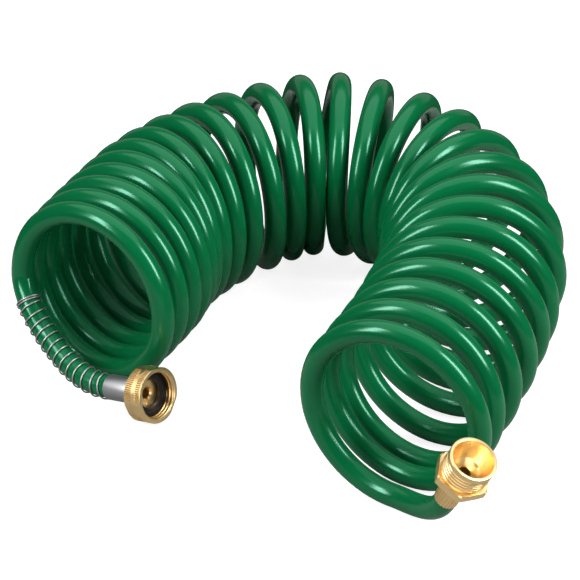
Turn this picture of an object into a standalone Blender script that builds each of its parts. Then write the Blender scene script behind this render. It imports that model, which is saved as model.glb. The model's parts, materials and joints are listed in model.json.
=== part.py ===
"""A self-coiling garden hose that lies on the floor, bent round in a U.

Sizes are in metres, angles in degrees and +Z is up. The open ends of the U point along -Y.
The hose runs from the inlet coupling on the left, through its turns, to the outlet fitting.
"""

import math

import bmesh
import bpy
from mathutils import Matrix, Vector

# Hose tube
HOSE_OD = 0.0127
FACE_GAP = 0.0003

# Coil: how its turns stand along the U, seen from above. A station gives a turn's number, the
# x and y of its middle, and the heading of its flat side. Turn 0 is the first at the inlet end.
STATIONS = (
    (0.0, -0.110, -0.018, -39),
    (3.0, -0.090, 0.036, -38),
    (6.0, -0.071, 0.087, -52),
    (9.0, -0.032, 0.142, -68),
    (12.0, 0.027, 0.179, -94),
    (15.0, 0.085, 0.128, -128),
    (18.0, 0.103, 0.043, -175),
    (21.5, 0.086, -0.065, -203),
    (25.0, 0.055, -0.170, -212),
)
# The turns' middle-line radius, and how far their tops lean on towards the outlet end
SHAPE_TURNS = (0.0, 6.0, 12.5, 19.0, 25.0)
TURN_RADII = (0.0490, 0.0495, 0.0475, 0.0470, 0.0490)
TURN_LEANS = (-4, -1, 4, 10, 10)
# Turns whose foot has slid along the floor, towards the outlet end, by a share of a turn
SLID_FEET = {
    9: 0.40,
    10: 0.25,
    12: 0.10,
    14: -0.40,
    17: 0.10,
    18: 0.20,
    19: 0.35,
    22: 0.20,
    23: 0.35,
    25: -0.15,
}
COIL_START = -0.25
COIL_END = 25.5
GUIDE_TURN = 0.05

# The coil's solid: its rings, from first to last, and their fineness
FIRST_RING = 0.45
LAST_RING = 24.98
RING_VALLEY = 0.004
RING_SIDES = 24

# Route of the inlet lead from the coil to its ferrule, and the way the coupling points
INLET_ROUTE = (
    (-0.1440, -0.0020, 0.0390),
    (-0.1375, -0.0095, 0.0300),
    (-0.1300, -0.0190, 0.0230),
    (-0.1210, -0.0295, 0.0165),
    (-0.1110, -0.0400, 0.0130),
)
INLET_MOUTH = (-0.099, -0.049, 0.013)
INLET_HEADING = -39
INLET_RISE = 8

# The outlet lead runs straight from the coil to its ferrule; the way that the fitting points
OUTLET_MOUTH = (0.0815, -0.2095, 0.023)
OUTLET_HEADING = -57
OUTLET_RISE = 53
STRAIGHT_END = 0.004
LEAD_STEP = 0.8 * HOSE_OD

# Spring guard round the inlet lead
GUARD_WIRE = 0.0009
GUARD_BORE = HOSE_OD + 0.0010
GUARD_PITCH = 0.0058
GUARD_TURNS = 13
GUARD_END_PITCH = 0.0013
GUARD_END_TURNS = 2
GUARD_STEPS = 10
WIRE_SIDES = 4

# Inlet coupling, along its axis from the hose end of its ferrule
ROUND_SIDES = 32
HEX_SIDES = 24
FINE_STEPS = 200
INLET_FERRULE_OD = 0.0143
INLET_FERRULE_LENGTH = 0.0222
BARB_OD = 0.0094
BARB_CLEARANCE = 0.0003
BARB_LENGTH = 0.018
TAIL_BORE = 0.0062
TAIL_NECK_OD = 0.0150
TAIL_FLANGE_OD = 0.0248
TAIL_FLANGE = 0.0015
NUT_GAP = 0.0007
NUT_START = INLET_FERRULE_LENGTH + NUT_GAP
NUT_LENGTH = 0.0122
NUT_OD = 0.0315
NUT_WALL = 0.0018
NUT_CHAMFER = 0.0006
NUT_REAR_BORE = 0.0158
NUT_THREAD_BORE = 0.0250
NUT_MOUTH_BORE = 0.0272
WASHER_OD = 0.0252
WASHER_ID = 0.0162
WASHER_THICKNESS = 0.0026
RELIEF_CLEARANCE = 0.0010
NUT_RELIEF_BORE = max(TAIL_FLANGE_OD, WASHER_OD) + RELIEF_CLEARANCE

# Outlet fitting, along its axis from the hose end of its ferrule
OUTLET_FERRULE_OD = 0.0132
OUTLET_FERRULE_LENGTH = 0.0205
FLUTE_DEPTH = 0.0004
FITTING_BORE = 0.0068
HEX_FLATS = 0.0275
HEX_THICKNESS = 0.0052
HEX_TURN = 25
NECK_OD = 0.0240
NECK_LENGTH = 0.0015
THREAD_OD = 0.0262
THREAD_LENGTH = 0.0092
RIM_OD = 0.0264
RIM_LENGTH = 0.0037
CUP_MOUTH_BORE = 0.0224
CUP_BORE = 0.0210
CUP_DEPTH = 0.0100
FUNNEL_DEPTH = 0.0035


def make_material(name, colour, roughness, metallic):
    """A plain Principled material."""
    material = bpy.data.materials.new(name)
    material.use_nodes = True
    shader = material.node_tree.nodes["Principled BSDF"]
    shader.inputs["Base Color"].default_value = (*colour, 1.0)
    shader.inputs["Roughness"].default_value = roughness
    shader.inputs["Metallic"].default_value = metallic
    return material


def slopes(marks, values):
    """The slope at each mark of a smooth curve through the values there."""
    steps = [after - before for before, after in zip(marks, marks[1:])]
    rises = [(after - before) / step for before, after, step in zip(values, values[1:], steps)]
    inner = []
    for i in range(len(rises) - 1):
        weighted = rises[i] * steps[i + 1] + rises[i + 1] * steps[i]
        inner.append(weighted / (steps[i] + steps[i + 1]))
    first = 1.5 * rises[0] - 0.5 * inner[0]
    last = 1.5 * rises[-1] - 0.5 * inner[-1]
    return [first, *inner, last]


def smooth(marks, values, at):
    """The value at one place on that curve, which runs on straight past its ends."""
    tangents = slopes(marks, values)
    if at <= marks[0]:
        return values[0] + tangents[0] * (at - marks[0])
    if at >= marks[-1]:
        return values[-1] + tangents[-1] * (at - marks[-1])
    i = max(index for index, mark in enumerate(marks) if mark <= at)
    step = marks[i + 1] - marks[i]
    s = (at - marks[i]) / step
    start = values[i] * ((1 + 2 * s) * (1 - s) ** 2) + tangents[i] * (step * s * (1 - s) ** 2)
    end = values[i + 1] * (s * s * (3 - 2 * s)) + tangents[i + 1] * (step * s * s * (s - 1))
    return start + end


def turn_frame(turn):
    """Middle, side, up and forward directions, and radius, of the coil at a turn number."""
    marks = [station[0] for station in STATIONS]
    spots = [Vector((x, y, 0.0)) for _, x, y, _ in STATIONS]
    headings = [math.radians(station[3]) for station in STATIONS]
    spot = smooth(marks, spots, turn)
    heading = smooth(marks, headings, turn)
    radius = smooth(SHAPE_TURNS, TURN_RADII, turn)
    lean = math.radians(smooth(SHAPE_TURNS, TURN_LEANS, turn))
    side = Vector((math.cos(heading), math.sin(heading), 0.0))
    ahead = Vector((-side.y, side.x, 0.0))
    up = Vector((0.0, 0.0, math.cos(lean))) + ahead * math.sin(lean)
    middle = spot + Vector((0.0, 0.0, radius * math.cos(lean) + HOSE_OD / 2))
    return middle, side, up, side.cross(up) * -1.0, radius


def slide(turn):
    """How far round the U a point of a turn has slid: its foot fully, its top not at all."""
    return SLID_FEET.get(math.floor(turn), 0.0) * (1 - math.cos(2 * math.pi * turn)) / 2


def on_turn(turn):
    """A point of the hose's middle line in the coil."""
    middle, side, up, _, radius = turn_frame(turn + slide(turn))
    angle = 2 * math.pi * turn
    return middle + radius * (math.cos(angle) * up + math.sin(angle) * side)


def direction(heading, rise):
    """A unit vector from its heading and its rise above the floor."""
    heading, rise = math.radians(heading), math.radians(rise)
    return Vector((math.cos(heading) * math.cos(rise), math.sin(heading) * math.cos(rise), math.sin(rise)))


def fitting_frame(mouth, heading, rise):
    """Local frame of a coupling: its origin at the hose's end and its Z along the way out."""
    turn = direction(heading, rise).to_track_quat("Z", "Y").to_matrix().to_4x4()
    return Matrix.Translation(Vector(mouth)) @ turn


def add_object(name, mesh, material, parent, frame=None):
    """Link a mesh as an object under the parent, at its frame."""
    mesh.materials.append(material)
    piece = bpy.data.objects.new(name, mesh)
    bpy.context.collection.objects.link(piece)
    piece.parent = parent
    piece.matrix_basis = frame or Matrix.Identity(4)
    return piece


def mesh_from_rows(name, rows, closed_rows):
    """A closed skin over rows of points; rows join end to start, or their ends are capped."""
    shape = bmesh.new()
    grid = [[shape.verts.new(point) for point in row] for row in rows]
    following = grid[1:] + (grid[:1] if closed_rows else [])
    for row, after in zip(grid, following):
        for j in range(len(row)):
            k = (j + 1) % len(row)
            shape.faces.new((row[j], row[k], after[k], after[j]))
    if not closed_rows:
        shape.faces.new(grid[0])
        shape.faces.new(grid[-1])
    bmesh.ops.recalc_face_normals(shape, faces=shape.faces)
    mesh = bpy.data.meshes.new(name)
    shape.to_mesh(mesh)
    shape.free()
    mesh.shade_smooth()
    mesh.set_sharp_from_angle(angle=math.radians(35))
    return mesh


def round_radius(radius, _):
    """A round row."""
    return radius


def hex_radius(half_flats, j):
    """A hexagon's reach at side j of the round."""
    angle = 2 * math.pi * j / HEX_SIDES
    return half_flats / math.cos((angle + math.pi / 6) % (math.pi / 3) - math.pi / 6)


def flute_radius(radius, j):
    """A fluted row, with every second side pressed in."""
    return radius - FLUTE_DEPTH * (j % 2)


def lathe(name, profile, sides=ROUND_SIDES):
    """Turn a closed profile of (radius, height, row shape) about the local Z axis."""
    rows = []
    for radius, height, shape in profile:
        row = []
        for j in range(sides):
            angle = 2 * math.pi * j / sides
            reach = shape(radius, j)
            row.append((reach * math.cos(angle), reach * math.sin(angle), height))
        rows.append(row)
    return mesh_from_rows(name, rows, closed_rows=True)


def round_profile(*points):
    """A profile of round rows."""
    return [(radius, height, round_radius) for radius, height in points]


def ring_slide(turn):
    """The slide of the two feet that a ring lies between, blended."""
    before = math.floor(turn - 0.5)
    share = turn - 0.5 - before
    return (1 - share) * SLID_FEET.get(before, 0.0) + share * SLID_FEET.get(before + 1, 0.0)


def coil_mesh():
    """The coil as one hollow solid: a ring for each turn, joined by a web, open along its bore."""
    count = round(LAST_RING - FIRST_RING) + 1
    spacing = (LAST_RING - FIRST_RING) / (count - 1)
    half = HOSE_OD / 2

    def row(turn, reach, shift=0.0):
        points = []
        for j in range(RING_SIDES):
            angle = 2 * math.pi * j / RING_SIDES
            spot = turn + ring_slide(turn) * (1 - math.cos(angle)) / 2
            middle, side, up, ahead, radius = turn_frame(spot)
            out = math.cos(angle) * up + math.sin(angle) * side
            points.append(middle + ahead * shift + (radius + reach) * out)
        return points

    outer = [row(FIRST_RING, half - RING_VALLEY, -half)]
    inner = [row(FIRST_RING, RING_VALLEY - half, -half)]
    for i in range(count):
        turn = FIRST_RING + i * spacing
        outer.append(row(turn, half))
        inner.append(row(turn, -half))
        if i < count - 1:
            outer.append(row(turn + spacing / 2, half - RING_VALLEY))
    outer.append(row(LAST_RING, half - RING_VALLEY, half))
    inner.append(row(LAST_RING, RING_VALLEY - half, half))
    return mesh_from_rows("hose_coil", outer + inner[::-1], closed_rows=True)


def running_lengths(points):
    """The distance along a line of points at each of them."""
    lengths = [0.0]
    for before, after in zip(points, points[1:]):
        lengths.append(lengths[-1] + (after - before).length)
    return lengths


def point_along(lengths, points, along):
    """The point of a fine line at a distance along it."""
    j = next((k for k, length in enumerate(lengths) if length >= along), len(lengths) - 1)
    j = max(1, j)
    share = (along - lengths[j - 1]) / (lengths[j] - lengths[j - 1])
    return points[j - 1].lerp(points[j], share)


def lead_line(route, step):
    """Evenly spaced points on a smooth curve through a route, and its straight last stretch.

    The route's first point only guides the curve's start.
    """
    marks = running_lengths(route)
    span = marks[-2] - marks[1]
    fine = [smooth(marks, route, marks[1] + span * i / FINE_STEPS) for i in range(FINE_STEPS + 1)]
    lengths = running_lengths(fine)
    count = max(2, round(lengths[-1] / step))
    spaced = [point_along(lengths, fine, lengths[-1] * i / count) for i in range(count + 1)]
    return [*spaced, route[-1]]


def into_ferrule(mouth, heading, rise):
    """The hose's straight last stretch, up to the mouth of its ferrule."""
    way = direction(heading, rise)
    end = Vector(mouth) - way * FACE_GAP
    return [end - way * STRAIGHT_END, end]


def inlet_route():
    """Route of the inlet lead, from the coil to its ferrule."""
    chosen = [Vector(point) for point in INLET_ROUTE]
    coil_end = [on_turn(COIL_START + GUIDE_TURN), on_turn(COIL_START)]
    return [*coil_end, *chosen, *into_ferrule(INLET_MOUTH, INLET_HEADING, INLET_RISE)]


def outlet_route():
    """Route of the outlet lead, from the coil to its ferrule."""
    coil_end = [on_turn(COIL_END - GUIDE_TURN), on_turn(COIL_END)]
    return [*coil_end, *into_ferrule(OUTLET_MOUTH, OUTLET_HEADING, OUTLET_RISE)]


def add_lead(name, route, material, parent):
    """A stretch of hose outside the coil, as a bevelled curve with flat ends."""
    curve = bpy.data.curves.new(name, "CURVE")
    curve.dimensions = "3D"
    curve.bevel_depth = HOSE_OD / 2
    curve.bevel_resolution = 4
    curve.use_fill_caps = True
    spline = curve.splines.new("POLY")
    line = lead_line(route, LEAD_STEP)
    spline.points.add(len(line) - 1)
    for spot, point in zip(spline.points, line):
        spot.co = (*point, 1.0)
    curve.materials.append(material)
    lead = bpy.data.objects.new(name, curve)
    bpy.context.collection.objects.link(lead)
    lead.parent = parent
    return lead


def guard_mesh():
    """The spring: a wire wound round the inlet lead, with close turns at its free end."""
    line = lead_line(inlet_route(), GUARD_WIRE)[::-1]
    lengths = running_lengths(line)
    radius = (GUARD_BORE + GUARD_WIRE) / 2
    side = Vector((0.0, 0.0, 1.0))
    rows = []
    for i in range((GUARD_TURNS + GUARD_END_TURNS) * GUARD_STEPS + 1):
        turn = i / GUARD_STEPS
        along = GUARD_WIRE + min(turn, GUARD_TURNS) * GUARD_PITCH
        along += max(0.0, turn - GUARD_TURNS) * GUARD_END_PITCH
        middle = point_along(lengths, line, along)
        ahead = (point_along(lengths, line, along + GUARD_WIRE) - middle).normalized()
        side = (side - ahead * side.dot(ahead)).normalized()
        angle = 2 * math.pi * turn
        out = math.cos(angle) * side + math.sin(angle) * ahead.cross(side)
        ring = []
        for j in range(WIRE_SIDES):
            around = 2 * math.pi * (j + 0.5) / WIRE_SIDES
            reach = GUARD_WIRE / 2 * (math.cos(around) * out + math.sin(around) * ahead)
            ring.append(middle + radius * out + reach)
        rows.append(ring)
    return mesh_from_rows("spring_guard", rows, closed_rows=False)


def inlet_ferrule_mesh():
    """The plain stainless sleeve."""
    outer, bore = INLET_FERRULE_OD / 2, BARB_OD / 2 + BARB_CLEARANCE
    return lathe("inlet_ferrule", round_profile(
        (bore, 0.0), (outer, 0.0), (outer, INLET_FERRULE_LENGTH), (bore, INLET_FERRULE_LENGTH)))


def inlet_tail_mesh():
    """The brass insert: barb in the ferrule, neck through the nut, flange under the washer."""
    neck = INLET_FERRULE_LENGTH + FACE_GAP
    flange = NUT_START + NUT_WALL + FACE_GAP
    bore = TAIL_BORE / 2
    return lathe("inlet_tail", round_profile(
        (bore, neck - BARB_LENGTH), (BARB_OD / 2, neck - BARB_LENGTH), (BARB_OD / 2, neck),
        (TAIL_NECK_OD / 2, neck), (TAIL_NECK_OD / 2, flange), (TAIL_FLANGE_OD / 2, flange),
        (TAIL_FLANGE_OD / 2, flange + TAIL_FLANGE), (bore, flange + TAIL_FLANGE)))


def washer_start():
    """Height of the washer's rear face in the coupling's frame."""
    return NUT_START + NUT_WALL + FACE_GAP + TAIL_FLANGE + FACE_GAP


def washer_mesh():
    """The rubber ring against the tail's flange."""
    low = washer_start()
    high = low + WASHER_THICKNESS
    return lathe("inlet_washer", round_profile(
        (WASHER_ID / 2, low), (WASHER_OD / 2, low), (WASHER_OD / 2, high), (WASHER_ID / 2, high)))


def nut_mesh():
    """The swivel nut, turned about its own joint axis: rear wall, relief and threaded mouth."""
    outer, edge = NUT_OD / 2, NUT_CHAMFER
    relief = washer_start() - NUT_START + WASHER_THICKNESS + FACE_GAP
    relief_step = (NUT_RELIEF_BORE - NUT_THREAD_BORE) / 2
    mouth_step = (NUT_MOUTH_BORE - NUT_THREAD_BORE) / 2
    return lathe("swivel_nut", round_profile(
        (NUT_REAR_BORE / 2, 0.0), (outer - edge, 0.0), (outer, edge),
        (outer, NUT_LENGTH - edge), (outer - edge, NUT_LENGTH),
        (NUT_MOUTH_BORE / 2, NUT_LENGTH), (NUT_THREAD_BORE / 2, NUT_LENGTH - mouth_step),
        (NUT_THREAD_BORE / 2, relief + relief_step), (NUT_RELIEF_BORE / 2, relief),
        (NUT_RELIEF_BORE / 2, NUT_WALL), (NUT_REAR_BORE / 2, NUT_WALL)))


def outlet_ferrule_mesh():
    """The fluted brass sleeve."""
    outer, bore = OUTLET_FERRULE_OD / 2, BARB_OD / 2 + BARB_CLEARANCE
    return lathe("outlet_ferrule", [
        (bore, 0.0, round_radius), (outer, 0.0, flute_radius),
        (outer, OUTLET_FERRULE_LENGTH, flute_radius), (bore, OUTLET_FERRULE_LENGTH, round_radius)],
        sides=HEX_SIDES)


def outlet_fitting_mesh():
    """The male fitting: barb, hexagon collar, thread, plain rim and a cup down to the bore."""
    hexagon = OUTLET_FERRULE_LENGTH + FACE_GAP
    neck = hexagon + HEX_THICKNESS
    thread = neck + NECK_LENGTH
    rim = thread + THREAD_LENGTH
    mouth = rim + RIM_LENGTH
    cup = mouth - CUP_DEPTH
    bore = FITTING_BORE / 2
    barb = BARB_OD / 2
    return lathe("outlet_fitting", [
        (bore, hexagon - BARB_LENGTH, round_radius), (barb, hexagon - BARB_LENGTH, round_radius),
        (barb, hexagon, round_radius), (HEX_FLATS / 2, hexagon, hex_radius),
        (HEX_FLATS / 2, neck, hex_radius), (NECK_OD / 2, neck, round_radius),
        (NECK_OD / 2, thread, round_radius), (THREAD_OD / 2, thread, round_radius),
        (THREAD_OD / 2, rim, round_radius), (RIM_OD / 2, rim, round_radius),
        (RIM_OD / 2, mouth, round_radius), (CUP_MOUTH_BORE / 2, mouth, round_radius),
        (CUP_BORE / 2, cup, round_radius), (bore, cup - FUNNEL_DEPTH, round_radius)],
        sides=HEX_SIDES)


def stand_on_origin(root, pieces):
    """Move the whole hose so that the middle of its underside is at the world's origin."""
    bpy.context.view_layer.update()
    depsgraph = bpy.context.evaluated_depsgraph_get()
    corners = []
    for piece in pieces:
        evaluated = piece.evaluated_get(depsgraph)
        mesh = evaluated.to_mesh()
        corners.extend(evaluated.matrix_world @ vertex.co for vertex in mesh.vertices)
        evaluated.to_mesh_clear()
    low = [min(corner[axis] for corner in corners) for axis in range(3)]
    high = [max(corner[axis] for corner in corners) for axis in range(3)]
    root.location = (-(low[0] + high[0]) / 2, -(low[1] + high[1]) / 2, -low[2])


def main():
    for item in list(bpy.data.objects):
        bpy.data.objects.remove(item)
    green = make_material("green_hose", (0.010, 0.150, 0.060), 0.25, 0.0)
    brass = make_material("brass", (0.80, 0.55, 0.22), 0.25, 1.0)
    steel = make_material("stainless_steel", (0.60, 0.60, 0.62), 0.35, 1.0)
    rubber = make_material("black_rubber", (0.02, 0.02, 0.022), 0.6, 0.0)

    root = bpy.data.objects.new("hose_origin", None)
    bpy.context.collection.objects.link(root)
    inlet = fitting_frame(INLET_MOUTH, INLET_HEADING, INLET_RISE)
    outlet = fitting_frame(OUTLET_MOUTH, OUTLET_HEADING, OUTLET_RISE)
    nut_frame = inlet @ Matrix.Translation((0.0, 0.0, NUT_START))
    hexagon_frame = outlet @ Matrix.Rotation(math.radians(HEX_TURN), 4, "Z")
    pieces = [
        add_object("hose_coil", coil_mesh(), green, root),
        add_lead("hose_inlet_lead", inlet_route(), green, root),
        add_lead("hose_outlet_lead", outlet_route(), green, root),
        add_object("spring_guard", guard_mesh(), steel, root),
        add_object("inlet_ferrule", inlet_ferrule_mesh(), steel, root, inlet),
        add_object("inlet_tail", inlet_tail_mesh(), brass, root, inlet),
        add_object("swivel_nut", nut_mesh(), brass, root, nut_frame),
        add_object("inlet_washer", washer_mesh(), rubber, root, inlet),
        add_object("outlet_ferrule", outlet_ferrule_mesh(), brass, root, outlet),
        add_object("outlet_fitting", outlet_fitting_mesh(), brass, root, hexagon_frame),
    ]
    stand_on_origin(root, pieces)


main()
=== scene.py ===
# %% [markdown]
# # A self-coiling garden hose
#
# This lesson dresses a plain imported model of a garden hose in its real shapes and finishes. The
# hose is one glossy green tube, wound into turns and laid in a U. A spring guard and a brass
# swivel nut sit at its inlet, and a brass male fitting at its outlet.
#
# All sizes are in metres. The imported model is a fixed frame: every new piece is made in the same
# place as the plain solid that it stands for.

# %% Load the fixed frame
import json
import math

import bmesh
import bpy
from mathutils import Matrix, Vector


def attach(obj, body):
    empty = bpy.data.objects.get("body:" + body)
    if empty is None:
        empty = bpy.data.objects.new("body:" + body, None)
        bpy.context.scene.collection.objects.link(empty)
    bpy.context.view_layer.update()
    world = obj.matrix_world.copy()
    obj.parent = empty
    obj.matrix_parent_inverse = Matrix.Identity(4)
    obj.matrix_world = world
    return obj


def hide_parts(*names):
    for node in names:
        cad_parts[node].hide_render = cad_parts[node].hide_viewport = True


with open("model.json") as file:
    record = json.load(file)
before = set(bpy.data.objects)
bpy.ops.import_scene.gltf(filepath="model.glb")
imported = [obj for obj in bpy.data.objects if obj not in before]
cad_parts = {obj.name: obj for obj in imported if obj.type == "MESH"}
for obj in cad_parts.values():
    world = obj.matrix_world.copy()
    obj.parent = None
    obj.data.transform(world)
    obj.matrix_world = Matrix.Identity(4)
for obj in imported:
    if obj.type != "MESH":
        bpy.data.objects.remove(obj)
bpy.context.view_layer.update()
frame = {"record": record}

# %% [markdown]
# ## Where the hose lies
#
# A coiled hose is a helix whose middle line wanders over the floor. These stations say where the
# middle of a turn stands and which way it faces, and the same smooth curve as in the model's own
# source runs through them. A list of a few stations is easy to read and to change, where a table
# of a thousand points would be neither.

# %% Sizes and stations of the hose
HOSE_OD = 0.0127
STATIONS = (
    (0.0, -0.110, -0.018, -39),
    (3.0, -0.090, 0.036, -38),
    (6.0, -0.071, 0.087, -52),
    (9.0, -0.032, 0.142, -68),
    (12.0, 0.027, 0.179, -94),
    (15.0, 0.085, 0.128, -128),
    (18.0, 0.103, 0.043, -175),
    (21.5, 0.086, -0.065, -203),
    (25.0, 0.055, -0.170, -212),
)
SHAPE_TURNS = (0.0, 6.0, 12.5, 19.0, 25.0)
TURN_RADII = (0.0490, 0.0495, 0.0475, 0.0470, 0.0490)
TURN_LEANS = (-4, -1, 4, 10, 10)
# Turns whose foot has slid along the floor, towards the outlet end, by a share of a turn
SLID_FEET = {
    9: 0.40,
    10: 0.25,
    12: 0.10,
    14: -0.40,
    17: 0.10,
    18: 0.20,
    19: 0.35,
    22: 0.20,
    23: 0.35,
    25: -0.15,
}
COIL_START = -0.25
COIL_END = 25.5
GUIDE_TURN = 0.05

INLET_ROUTE = (
    (-0.1440, -0.0020, 0.0390),
    (-0.1375, -0.0095, 0.0300),
    (-0.1300, -0.0190, 0.0230),
    (-0.1210, -0.0295, 0.0165),
    (-0.1110, -0.0400, 0.0130),
)
INLET_MOUTH = (-0.099, -0.049, 0.013)
INLET_HEADING = -39
INLET_RISE = 8
OUTLET_MOUTH = (0.0815, -0.2095, 0.023)
OUTLET_HEADING = -57
OUTLET_RISE = 53
STRAIGHT_END = 0.004
INLET_FERRULE_LENGTH = 0.0222
NUT_GAP = 0.0007
NUT_START = INLET_FERRULE_LENGTH + NUT_GAP


# %% [markdown]
# ## From stations to a curve
#
# Between two stations the curve is a cubic that leaves each one at a slope worked out from its
# neighbours, so the coil sweeps round the U without corners. The couplings get frames of their
# own at the two ends of the hose, so that they can be drawn upright and then set in place.

# %% A smooth curve through the stations
def slopes(marks, values):
    """The slope at each mark of a smooth curve through the values there."""
    steps = [after - before for before, after in zip(marks, marks[1:])]
    rises = [(after - before) / step for before, after, step in zip(values, values[1:], steps)]
    inner = []
    for i in range(len(rises) - 1):
        weighted = rises[i] * steps[i + 1] + rises[i + 1] * steps[i]
        inner.append(weighted / (steps[i] + steps[i + 1]))
    first = 1.5 * rises[0] - 0.5 * inner[0]
    last = 1.5 * rises[-1] - 0.5 * inner[-1]
    return [first, *inner, last]


def smooth(marks, values, at):
    """The value at one place on that curve, which runs on straight past its ends."""
    tangents = slopes(marks, values)
    if at <= marks[0]:
        return values[0] + tangents[0] * (at - marks[0])
    if at >= marks[-1]:
        return values[-1] + tangents[-1] * (at - marks[-1])
    i = max(index for index, mark in enumerate(marks) if mark <= at)
    step = marks[i + 1] - marks[i]
    s = (at - marks[i]) / step
    start = values[i] * ((1 + 2 * s) * (1 - s) ** 2) + tangents[i] * (step * s * (1 - s) ** 2)
    end = values[i + 1] * (s * s * (3 - 2 * s)) + tangents[i + 1] * (step * s * s * (s - 1))
    return start + end


def direction(heading, rise):
    """A unit vector from its heading and its rise above the floor."""
    heading, rise = math.radians(heading), math.radians(rise)
    level = math.cos(rise)
    return Vector((math.cos(heading) * level, math.sin(heading) * level, math.sin(rise)))


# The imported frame's origin is under the middle of the hose; its one joint says where that is
inlet_way = direction(INLET_HEADING, INLET_RISE)
outlet_way = direction(OUTLET_HEADING, OUTLET_RISE)
nut_spot = Vector(frame["record"]["behaviour"]["joints"][0]["pos_m"])
SHIFT = nut_spot - (Vector(INLET_MOUTH) + inlet_way * NUT_START)
SHIFT.z = 0.0
print("shift to the frame, mm:", [round(v * 1000, 2) for v in SHIFT])


def fitting_frame(mouth, way):
    """A coupling's own frame: origin at the hose's end, Z along the way out, Y upwards."""
    facing = way.to_track_quat("Z", "Y").to_matrix().to_4x4()
    return Matrix.Translation(Vector(mouth) + SHIFT) @ facing


inlet_frame = fitting_frame(INLET_MOUTH, inlet_way)
outlet_frame = fitting_frame(OUTLET_MOUTH, outlet_way)

# %% [markdown]
# ## The camera first
#
# The camera stands where the photograph's camera stood, far away with a long lens, so that the
# turns at the back look almost as large as those in front. Its place was found by matching the
# hose's outline.

# %% Camera
CAMERA_AIM = (0.0, 0.0, 0.050)
CAMERA_DOWN = 23.534
CAMERA_DISTANCE = 2.7234
CAMERA_LENS = 302.7

aim = Vector(CAMERA_AIM) + SHIFT
down = math.radians(CAMERA_DOWN)
camera_data = bpy.data.cameras.new("camera")
camera_data.lens = CAMERA_LENS
camera_data.clip_end = 20.0
camera = bpy.data.objects.new("camera", camera_data)
bpy.context.collection.objects.link(camera)
camera.location = aim + CAMERA_DISTANCE * Vector((0.0, -math.cos(down), math.sin(down)))
camera.rotation_euler = (math.pi / 2 - down, 0.0, 0.0)
bpy.context.scene.camera = camera
print("camera:", CAMERA_LENS, "mm lens,", CAMERA_DISTANCE, "m away,", CAMERA_DOWN, "degrees down")

# %% [markdown]
# ## The route of the hose
#
# The route starts at the inlet ferrule, climbs the side of the first turn, follows the helix and
# runs into the outlet ferrule. It is one line, because the real hose is one length of tube: the
# spaces between its turns are what makes it look like a hose and not like a spring.

# %% The helix and the two leads
TURN_STEPS = 72
LEAD_STEP = 0.002
FINE_STEPS = 200
TUCK = 0.004
END_GAP = 0.0001


def turn_frame(turn):
    """Middle, side, up and radius of the coil at a turn number."""
    marks = [station[0] for station in STATIONS]
    spots = [Vector((x, y, 0.0)) for _, x, y, _ in STATIONS]
    headings = [math.radians(station[3]) for station in STATIONS]
    spot = smooth(marks, spots, turn)
    heading = smooth(marks, headings, turn)
    radius = smooth(SHAPE_TURNS, TURN_RADII, turn)
    lean = math.radians(smooth(SHAPE_TURNS, TURN_LEANS, turn))
    side = Vector((math.cos(heading), math.sin(heading), 0.0))
    ahead = Vector((-side.y, side.x, 0.0))
    up = Vector((0.0, 0.0, math.cos(lean))) + ahead * math.sin(lean)
    middle = spot + Vector((0.0, 0.0, radius * math.cos(lean) + HOSE_OD / 2))
    return middle, side, up, radius


def slide(turn):
    """How far round the U a point of a turn has slid: its foot fully, its top not at all."""
    return SLID_FEET.get(math.floor(turn), 0.0) * (1 - math.cos(2 * math.pi * turn)) / 2


def on_turn(turn):
    """A point of the hose's middle line in the coil."""
    middle, side, up, radius = turn_frame(turn + slide(turn))
    angle = 2 * math.pi * turn
    return middle + radius * (math.cos(angle) * up + math.sin(angle) * side)


def running_lengths(points):
    """The distance along a line of points at each of them."""
    lengths = [0.0]
    for before, after in zip(points, points[1:]):
        lengths.append(lengths[-1] + (after - before).length)
    return lengths


def point_along(lengths, points, along):
    """The point of a fine line at a distance along it."""
    j = next((k for k, length in enumerate(lengths) if length >= along), len(lengths) - 1)
    j = max(1, j)
    share = (along - lengths[j - 1]) / (lengths[j] - lengths[j - 1])
    return points[j - 1].lerp(points[j], share)


def lead_line(chosen, guide, start, mouth, way, step):
    """Evenly spaced points from the coil, through the chosen ones, to a ferrule's mouth."""
    end = Vector(mouth)
    route = [guide, start, *[Vector(point) for point in chosen], end - way * STRAIGHT_END, end]
    marks = running_lengths(route)
    span = marks[-2] - marks[1]
    places = [marks[1] + span * i / FINE_STEPS for i in range(FINE_STEPS + 1)]
    fine = [smooth(marks, route, place) for place in places]
    lengths = running_lengths(fine)
    count = max(2, round(lengths[-1] / step))
    even = [point_along(lengths, fine, lengths[-1] * i / count) for i in range(count + 1)]
    return [*even, end]


inlet_line = lead_line(
    INLET_ROUTE, on_turn(COIL_START + GUIDE_TURN), on_turn(COIL_START),
    INLET_MOUTH, inlet_way, LEAD_STEP)
outlet_line = lead_line(
    (), on_turn(COIL_END - GUIDE_TURN), on_turn(COIL_END), OUTLET_MOUTH, outlet_way, LEAD_STEP)
coil_turns = COIL_END - COIL_START
coil_steps = round(coil_turns * TURN_STEPS)
helix = [on_turn(COIL_START + coil_turns * i / coil_steps) for i in range(coil_steps + 1)]
route = [*inlet_line[::-1], *helix[1:], *outlet_line[1:]]
# The tube tucks a little way into the steel ferrule; the fluted one is pressed against its end
route = [Vector(INLET_MOUTH) + inlet_way * TUCK, *route[:-1], route[-1] - outlet_way * END_GAP]
route = [point + SHIFT for point in route]
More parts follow.
